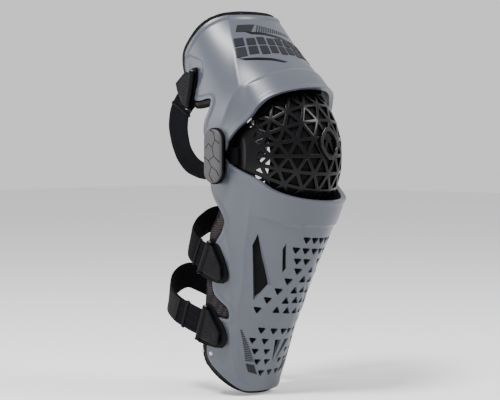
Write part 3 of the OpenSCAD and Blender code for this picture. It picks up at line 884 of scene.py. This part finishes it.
# ------------------------------------------------------------------ hinge covers
for s, nm in ((-1, "left"), (1, "right")):
    o = new("hinge_cover_" + nm, *stadium_solid([(12.0, 75.1), (12.0, 77.4), (11.7, 78.0), (11.1, 78.5), (10.0, 78.9), (7.0, 79.15), (3.0, 79.2)], 16, s))
    fix(o)
    finish(o, "knee", M_CAP, ("hinge_cap_" + nm,), 30)
    o = new("hinge_rim_" + nm, *stadium_solid([(13.2, 72.0), (13.2, 75.3), (12.9, 75.9), (12.3, 76.1), (12.05, 75.9), (12.0, 74.0)], 16, s, 0.0))
    fix(o)
    finish(o, "knee", M_BLACK, (), 40)
    lines = [[(-10.4, 13), (-5, 17), (-1, 9), (4, 13), (8.5, 8)], [(-1, 9), (-3, 0), (4, -5), (0, -11), (3.5, -19), (-1.5, -26.5)],
             [(-10.8, -6), (-3, 0)], [(0, -11), (-7, -15), (-10, -20)], [(4, -5), (10.8, -1)], [(-5, 17), (-3, 24), (2, 27)]]
    pp = []
    for L in lines:
        for a, b in zip(L[:-1], L[1:]):
            d = np.array(b, float) - np.array(a, float)
            w = np.array([-d[1], d[0]]) / np.hypot(*d) * 0.32
            quad = [np.array(a) + w, np.array(a) - w, np.array(b) - w, np.array(b) + w]
            pp.append(loft([[(s * 78.2, q[0], q[1]) for q in quad], [(s * 79.32, q[0], q[1]) for q in quad]]))
    o = merge("hinge_lines_" + nm, pp)
    fix(o)
    finish(o, "knee", M_LINE, (), 30, False)


# ------------------------------------------------------------------ clips
def clip_to_world(P, limb, f, h, x0, tilt, yaw, s):
    P = np.array(P, float)
    c, sn = math.cos(math.radians(yaw)), math.sin(math.radians(yaw))
    x, y, z = P[:, 0] * c - P[:, 1] * sn, P[:, 0] * sn + P[:, 1] * c, P[:, 2]
    c, sn = math.cos(math.radians(tilt)), math.sin(math.radians(tilt))
    y, z = y * c - z * sn, y * sn + z * c
    x, y, z = x + x0, y - f, z + limb.up * h
    W = limb.world(x, -y, z / limb.up)
    W[:, 0] *= s
    return W


def plate(P, levels):
    """Plate through (inset scale, x) levels of one outline in the clip's own frame."""
    P = np.array(P, float)
    c = P.mean(0)
    return loft([[(x, *(c + (q - c) * k)) for q in P] for k, x in levels])


CLIPS = {
    "thigh": (THIGH, -10, 64, 67.6, 36, 8, 40, [[-4, 25], [-4, -22], [2, -24], [9, -18], [16, -6], [15, 10], [6, 22]],
              [[-2, 19], [11, 19], [24, 3], [20, -4], [8, -20], [-2, -22]], "thigh"),
    "upper_calf": (SHIN, -5, 93, 62.4, 14, -6, 36, [[4, 20], [-5, 22], [-14, 15], [-31, -3], [-33, -11], [-29, -18], [-8, -22], [4, -20]],
                   [[2, 19], [-5, 19], [-23, 0], [-28, -11], [-24, -18], [2, -20]], "shin"),
    "lower_calf": (SHIN, -4, 164, 55.2, 8, -7, 38, [[4, 21], [-5, 23], [-12, 16], [-31, 0], [-33, -12], [-29, -19], [-1, -23], [4, -21]],
                   [[2, 20], [-5, 20], [-25, -2], [-26, -14], [-22, -19], [2, -20]], "shin"),
}
for key, (limb, f0, h0, x0, tilt, yaw, L, cp, lp, body) in CLIPS.items():
    for s, nm in ((-1, "left"), (1, "right")):
        def put(o):
            me = o.data
            W = clip_to_world([v.co for v in me.vertices], limb, f0, h0, x0, tilt, yaw, s)
            me.vertices.foreach_set("co", W.ravel())
            me.update()
            fix(o)
        # base plate with the two rod ears
        o = new(key + "_clip_base_" + nm, *plate(cut(cp, 1), [(1, 0), (1, 2.4)]))
        for z0 in (-L / 2, L / 2 - 2.4):
            ear = [(2.2, z0)]
            n = 20
            prof = [(1.0, -3.1), (1.0, 3.1)] + [(5.7 + 3.1 * math.sin(math.pi * k / n), 3.1 * math.cos(math.pi * k / n)) for k in range(n + 1)]
            v, fcs = loft([[(a, b, z0) for a, b in prof], [(a, b, z0 + 2.4) for a, b in prof]])
            c = new("ear", v, fcs)
            fix(c)
            fix(o)
            boolean(o, c, "UNION")
        bevel(o, 0.6, 2, 40)
        put(o)
        finish(o, body, M_BLACK, (key + "_catch_" + nm,), 35)
        # lever: barrel round the rod, raised plate with a sunk panel and ribs
        P = np.array(lp, float)
        P[:, 1] = np.clip(P[:, 1], -L / 2 + 2.7, L / 2 - 2.7)
        o = new(key + "_lever_plate_" + nm, *plate(P, [(1, 4.4), (1, 6.5), (0.93, 7.25), (0.80, 7.3), (0.77, 6.8)]))
        n = 24
        v, fcs = loft([[(5.7 + 3.0 * math.cos(2 * math.pi * k / n), 3.0 * math.sin(2 * math.pi * k / n), z) for k in range(n)] for z in (-L / 2 + 2.7, L / 2 - 2.7)])
        c = new("barrel", v, fcs)
        fix(c)
        fix(o)
        boolean(o, c, "UNION")
        bevel(o, 0.35, 2, 40)
        put(o)
        finish(o, key + "_lever_" + nm, M_LEVER, (key + "_lever_" + nm,), 35)
        ribs = []
        c0 = P.mean(0)
        for k in (-7, -3.5, 0, 3.5, 7):
            w = 5.5 - abs(k) * 0.35
            a, b = c0[0] - w, c0[0] + w
            z = c0[1] + k
            ribs.append(loft([[(6.6, a, z - 0.6), (6.6, b, z - 0.6), (6.6, b, z + 0.6), (6.6, a, z + 0.6)],
                              [(7.2, a + .3, z - 0.35), (7.2, b - .3, z - 0.35), (7.2, b - .3, z + 0.35), (7.2, a + .3, z + 0.35)]]))
        o = merge(key + "_lever_ribs_" + nm, ribs)
        put(o)
        finish(o, key + "_lever_" + nm, M_LEVER)

# ------------------------------------------------------------------ straps
THIGH_BAND = [[-67, -42, 63, 0, -0.55, 0.83], [-66.6, -52, 54, 0, -0.8, 0.6], [-66.2, -59, 41, 0, -0.95, 0.3], [-64, -61, 22, 0, -0.98, 0.15],
              [-56, -60, 1, 0.1, -0.95, -0.2], [-37, -59, -14, 0.1, -0.9, -0.4], [0, -60, -20, 0, -0.87, -0.5]]
UPPER_BAND = [[-63.2, -20, -107, 0, -0.35, -0.94], [-62.8, -31, -103, 0, -0.35, -0.94], [-60.5, -44, -97, 0, -0.33, -0.94],
              [-50, -57, -88, 0, -0.25, -0.96], [-28, -65, -77, 0, -0.2, -0.98], [0, -68, -69, 0, -0.2, -0.98]]
LOWER_BAND = [[-56, -38, -176, 0, -0.3, -0.95], [-56, -54, -171, 0, -0.3, -0.95], [-54, -76, -163, 0, -0.25, -0.97],
              [-44, -95, -153, 0, -0.15, -0.99], [-25, -107, -141, 0, -0.1, -0.99], [0, -110, -133, 0, -0.1, -0.99]]
WEB_W, WEB_T = 28.0, 2.0


def whole(K):
    return [list(map(float, k)) for k in K] + [[-k[0], k[1], k[2], -k[3], k[4], k[5]] for k in reversed(K[:-1])]


def catmull(K, u):
    n = len(K) - 1
    i = min(int(u), n - 1)
    t = u - i
    a, b, c, d = (np.array(K[j]) for j in (max(i - 1, 0), i, i + 1, min(i + 2, n)))
    return 0.5 * (2 * b + (c - a) * t + (2 * a - 5 * b + 4 * c - d) * t * t + (3 * b - a - 3 * c + d) * t**3)


def station(K, u):
    n = len(K) - 1
    w3 = lambda v: np.array([v[0], -v[1], v[2]])
    p, q, r = catmull(K, u), catmull(K, min(u + 0.01, n)), catmull(K, max(u - 0.01, 0))
    t = w3(q - r)
    t /= np.linalg.norm(t)
    w = w3(p[3:])
    w -= t * (w @ t)
    w /= np.linalg.norm(w)
    return w3(p), w, np.cross(t, w)


def band(name, half, body, node, u0=0.0, u1=None, width=WEB_W, t0=-WEB_T / 2, t1=WEB_T / 2, mat=None, steps=14, sag=0.25):
    K = whole(half)
    u1 = len(K) - 1 if u1 is None else u1
    n = int((u1 - u0) * steps)
    us = np.linspace(u0, u1, n + 1)
    rings, lens, prev, total = [], [], None, 0.0
    prof = []
    # rounded selvedge, and a slight dish across the band
    m = 12
    for k in range(m + 1):
        a = -1 + 2 * k / m
        prof.append((a * width / 2, t1 - 0.35 * abs(a) ** 8 * (t1 - t0)))
    for k in range(m, -1, -1):
        a = -1 + 2 * k / m
        prof.append((a * width / 2, t0 + 0.35 * abs(a) ** 8 * (t1 - t0)))
    for u in us:
        p, w, nn = station(K, u)
        if prev is not None:
            total += float(np.linalg.norm(p - prev))
        prev = p
        lens.append(total)
        rip = 0.12 * math.sin(total * 0.35)
        rings.append([tuple(p + w * a + nn * (b + rip * math.cos(a * 0.2) - sag * (a / width * 2) ** 2)) for a, b in prof])
    o = new(name, *loft(rings))
    fix(o)
    me = o.data
    uv = me.uv_layers.new(name="UVMap")
    k = len(prof)
    for poly in me.polygons:
        for li, vi in zip(poly.loop_indices, poly.vertices):
            uv.data[li].uv = (lens[min(vi // k, n)], prof[vi % k][0])
    finish(o, body, mat or M_WEB, (node,) if node else (), 40, False)
    return o


def stitches(name, half, body, u_list, rows, out):
    """Short stitch threads across the band at given places."""
    K = whole(half)
    pp = []
    for u in u_list:
        p, w, nn = station(K, u)
        t = np.cross(w, nn)
        for a in rows:
            c = p + w * a + nn * out
            quad = [c + w * 0.25 + t * 0.9, c - w * 0.25 + t * 0.9, c - w * 0.25 - t * 0.9, c + w * 0.25 - t * 0.9]
            pp.append(loft([[tuple(q - nn * 0.5 * np.sign(out)) for q in quad], [tuple(q + nn * 0.18 * np.sign(out)) for q in quad]]))
    o = merge(name, pp)
    fix(o)
    finish(o, body, M_STITCH, (), 30, False)
    return o


for nm, half, body, node in (("thigh_strap_webbing", THIGH_BAND, "thigh", "thigh_strap"), ("upper_calf_strap_webbing", UPPER_BAND, "shin", "upper_calf_strap"),
                             ("lower_calf_strap_webbing", LOWER_BAND, "shin", "lower_calf_strap")):
    band(nm, half, body, node)
    n = len(half) * 2 - 2
    us = [0.35 + 0.045 * k for k in range(26)]
    us += [n - u for u in us]
    K = whole(half)
    p, w, nn = station(K, 1.0)
    out = 1.02 if nn[0] < 0 else -1.02
    stitches(nm + "_stitch_out", half, body, us, (-11.5, -3.8, 3.8, 11.5), out)

# stiff tab on the outer side of the lower calf strap, and keeper loops
for s, (a, b) in ((-1, (1.75, 2.75)), (1, (7.25, 8.25))):
    K = whole(LOWER_BAND)
    p, w, nn = station(K, (a + b) / 2)
    side_ = 1 if nn[0] * p[0] > 0 else -1
    lo, hi = (1.0, 1.9) if side_ > 0 else (-1.9, -1.0)
    band("strap_tab_" + ("left" if s < 0 else "right"), LOWER_BAND, "shin", None, a, b, 25.0, lo, hi, M_TAB, 20, 0.0)
for nm, half, body, u in (("thigh", THIGH_BAND, "thigh", 1.35), ("upper_calf", UPPER_BAND, "shin", 1.3), ("lower_calf", LOWER_BAND, "shin", 1.2)):
    n = len(half) * 2 - 2
    for s, uu in ((-1, u), (1, n - u - 0.16)):
        K = whole(half)
        p, w, nn = station(K, uu)
        band(nm + "_keeper_" + ("left" if s < 0 else "right"), half, body, None, uu, uu + 0.16, WEB_W + 2.4, -1.9, 1.9, M_BLACK, 40, 0.0)


# ------------------------------------------------------------------ moulded graphics: thin raised strips on the shells
def patch(limb, corners, off0, off1, nu=8, nv=2, relief=None):
    """Slab over four corners (x, along) of the shell's front, following its curve."""
    c = np.array(corners, float)
    u, v = np.meshgrid(np.linspace(0, 1, nu + 1), np.linspace(0, 1, nv + 1), indexing="ij")
    q = (1 - u)[..., None] * ((1 - v)[..., None] * c[0] + v[..., None] * c[3]) + u[..., None] * ((1 - v)[..., None] * c[1] + v[..., None] * c[2])
    X, H = q[..., 0], q[..., 1]
    f = limb.front(X, H, 0.0)
    r = relief(X, f, H) if relief else 0.0
    fo = limb.front(X, H, -(off1) - r)
    fi = limb.front(X, H, -(off0) - r)
    return closed_grid(limb.world(X, fo, H), limb.world(X, fi, H))


def graphics(name, limb, quads, off0, off1, body, mat, replaces=(), relief=None):
    o = merge(name, [patch(limb, q, off0, off1, 10, 3, relief) for q in quads])
    fix(o)
    return finish(o, body, mat, replaces, 40, False)


quads = []
# solid block, then a comb of slanted ticks that shorten as they run round the front
quads.append([(-36.5, 111.5), (-16.5, 110), (-27, 100.5), (-42, 103.5)])
for k in range(17):
    x = -13.5 + k * 2.75
    top = 109.2 - k * 0.72
    tall = 9.6 - k * 0.5
    quads.append([(x, top), (x + 1.45, top - 0.1), (x + 1.45 - tall * 0.85, top - tall), (x - tall * 0.85, top - tall + 0.1)])
graphics("thigh_comb", THIGH, quads, -0.6, 0.35, "thigh", M_BADGE, ("thigh_badge",), thigh_disp)
# two tiers of bold leaning bars
quads = []
for k in range(9):
    x = -54 + k * 11.2
    hi = 95.5 - k * 1.35 - (1.2 if k % 2 else 0)
    tall = 22.5 - (2.4 if k % 2 else 0)
    w, lean = 8.4, 6.0
    m0, m1 = 0.42, 0.52
    quads.append([(x + lean, hi), (x + lean + w, hi - 0.8), (x + lean * (1 - m0) + w, hi - 0.8 - tall * m0), (x + lean * (1 - m0), hi - tall * m0)])
    quads.append([(x + lean * (1 - m1), hi - tall * m1), (x + lean * (1 - m1) + w, hi - 0.8 - tall * m1), (x + w, hi - 0.8 - tall), (x, hi - tall)])
graphics("thigh_blocks", THIGH, quads, -0.6, 0.7, "thigh", M_BADGE, (), thigh_disp)
# two slim black strips above and below the blocks, painted shade standing in for sunk slots
quads = []
quads += [[(-33, 101.4), (-14, 98.6), (-14, 95.2), (-28, 97.6)], [(-14, 98.6), (6, 94.0), (6, 90.4), (-14, 95.2)], [(6, 94.0), (27, 86.4), (20, 85.6), (6, 90.4)]]
quads += [[(-53, 71.4), (-40, 67.4), (-40, 64.0), (-49, 67.4)], [(-40, 67.4), (-25, 62.6), (-25, 59.0), (-40, 64.0)], [(-25, 62.6), (-11, 56.0), (-17, 55.4), (-25, 59.0)]]
graphics("thigh_slot_painted_shade", THIGH, quads, -0.6, 0.25, "thigh", M_CUP, (), thigh_disp)
quads = []
for s in (-1, 1):
    for k in range(17):
        h = 163 + k * 2.05
        w = 1.2 + k * 0.42
        x = 43.2 - k * 0.62
        quads.append([(s * x, h), (s * (x - w), h + 0.5), (s * (x - w), h + 1.3), (s * x, h + 0.9)])
    quads.append([(s * 32, 200), (s * 23.5, 201), (s * 16.5, 212), (s * 27.5, 209)])
graphics("shin_comb", SHIN, quads, -0.6, 0.35, "shin", M_BADGE, (), shin_disp)

# ------------------------------------------------------------------ rivets
def dome_rivet(name, centre, normal, r, body):
    c, nrm = Vector(centre), Vector(normal).normalized()
    a = nrm.orthogonal().normalized()
    b = nrm.cross(a)
    rings = []
    for rr, hh in ((1.0, -0.8), (1.0, 0.1), (0.86, 0.42), (0.6, 0.66), (0.3, 0.78)):
        rings.append([tuple(c + a * (r * rr * math.cos(k * math.pi / 10)) + b * (r * rr * math.sin(k * math.pi / 10)) + nrm * (hh * r * 0.6)) for k in range(20)])
    o = new(name, *loft(rings))
    fix(o)
    return finish(o, body, M_STEEL, (), 50, False)


for s, nm in ((-1, "left"), (1, "right")):
    p = SHIN.world(s * 50.4, 6, 196)
    q = SHIN.world(s * 60, 6.3, 196)
    dome_rivet("shin_rivet_head_" + nm, p, np.array(q) - np.array(p), 2.4, "shin")

# ------------------------------------------------------------------ shown CAD nodes
CAD_MAT = {"hinge_link": M_BLACK, "hinge_base": M_BLACK, "upper_pins": M_STEEL, "lower_pins": M_STEEL, "spacers": M_NYLON,
           "rod": M_STEEL, "rivets": M_STEEL}
for name, ob in NODES.items():
    m = None
    for key, mm in CAD_MAT.items():
        if key in name:
            m = mm
    m = m or M_BLACK
    ob.data.materials.clear()
    ob.data.materials.append(m)
    for p in ob.data.polygons:
        p.material_index = 0

# ------------------------------------------------------------------ floor, light, camera
lo = min(v[2] for v in CAD_BOX) if not hasattr(CAD_BOX[0], "z") else CAD_BOX[0].z
me = bpy.data.meshes.new("floor")
me.from_pydata([(-6, -6, lo - 0.002), (6, -6, lo - 0.002), (6, 6, lo - 0.002), (-6, 6, lo - 0.002)], [], [(0, 1, 2, 3)])
floor = bpy.data.objects.new("floor", me)
COL.objects.link(floor)
fm = material("floor_pale", (0.86, 0.86, 0.86), 0.85, spread=0.01, scale=2, bump=0.0)
me.materials.append(fm)

world = bpy.data.worlds.new("studio")
bpy.context.scene.world = world
world.use_nodes = True
bg = world.node_tree.nodes["Background"]
bg.inputs["Color"].default_value = (1.0, 1.0, 1.0, 1)
bg.inputs["Strength"].default_value = 0.9


def area(name, loc, target, size, energy, color=(1, 1, 1)):
    d = bpy.data.lights.new(name, "AREA")
    d.shape, d.size, d.energy, d.color = "SQUARE", size, energy, color
    o = bpy.data.objects.new(name, d)
    o.location = loc
    o.rotation_euler = (Vector(target) - Vector(loc)).to_track_quat("-Z", "Y").to_euler()
    COL.objects.link(o)


area("key", (-1.2, -0.1, 1.7), (0, 0, 0.06), 0.55, 70)
area("fill", (0.7, -1.4, 1.3), (0, 0, 0.05), 0.6, 26)
area("rim", (-1.3, 1.2, 0.3), (0, 0, 0), 0.8, 12)

TH, EL = math.radians(48.0), math.radians(2.0)
cv = Vector((-math.sin(TH) * math.cos(EL), -math.cos(TH) * math.cos(EL), math.sin(EL)))
rv = Vector((math.cos(TH), -math.sin(TH), 0))
uv_ = Vector((math.sin(TH) * math.sin(EL), math.cos(TH) * math.sin(EL), math.cos(EL)))
loc = Vector((-0.079, 0, 0)) + cv * 1.8 + rv * 0.0397 + uv_ * -0.0453
cam = bpy.data.cameras.new("camera")
cam.lens, cam.sensor_width = 125.8, 36
co = bpy.data.objects.new("camera", cam)
co.location = loc
co.rotation_euler = cv.to_track_quat("Z", "Y").to_euler()
COL.objects.link(co)
bpy.context.scene.camera = co
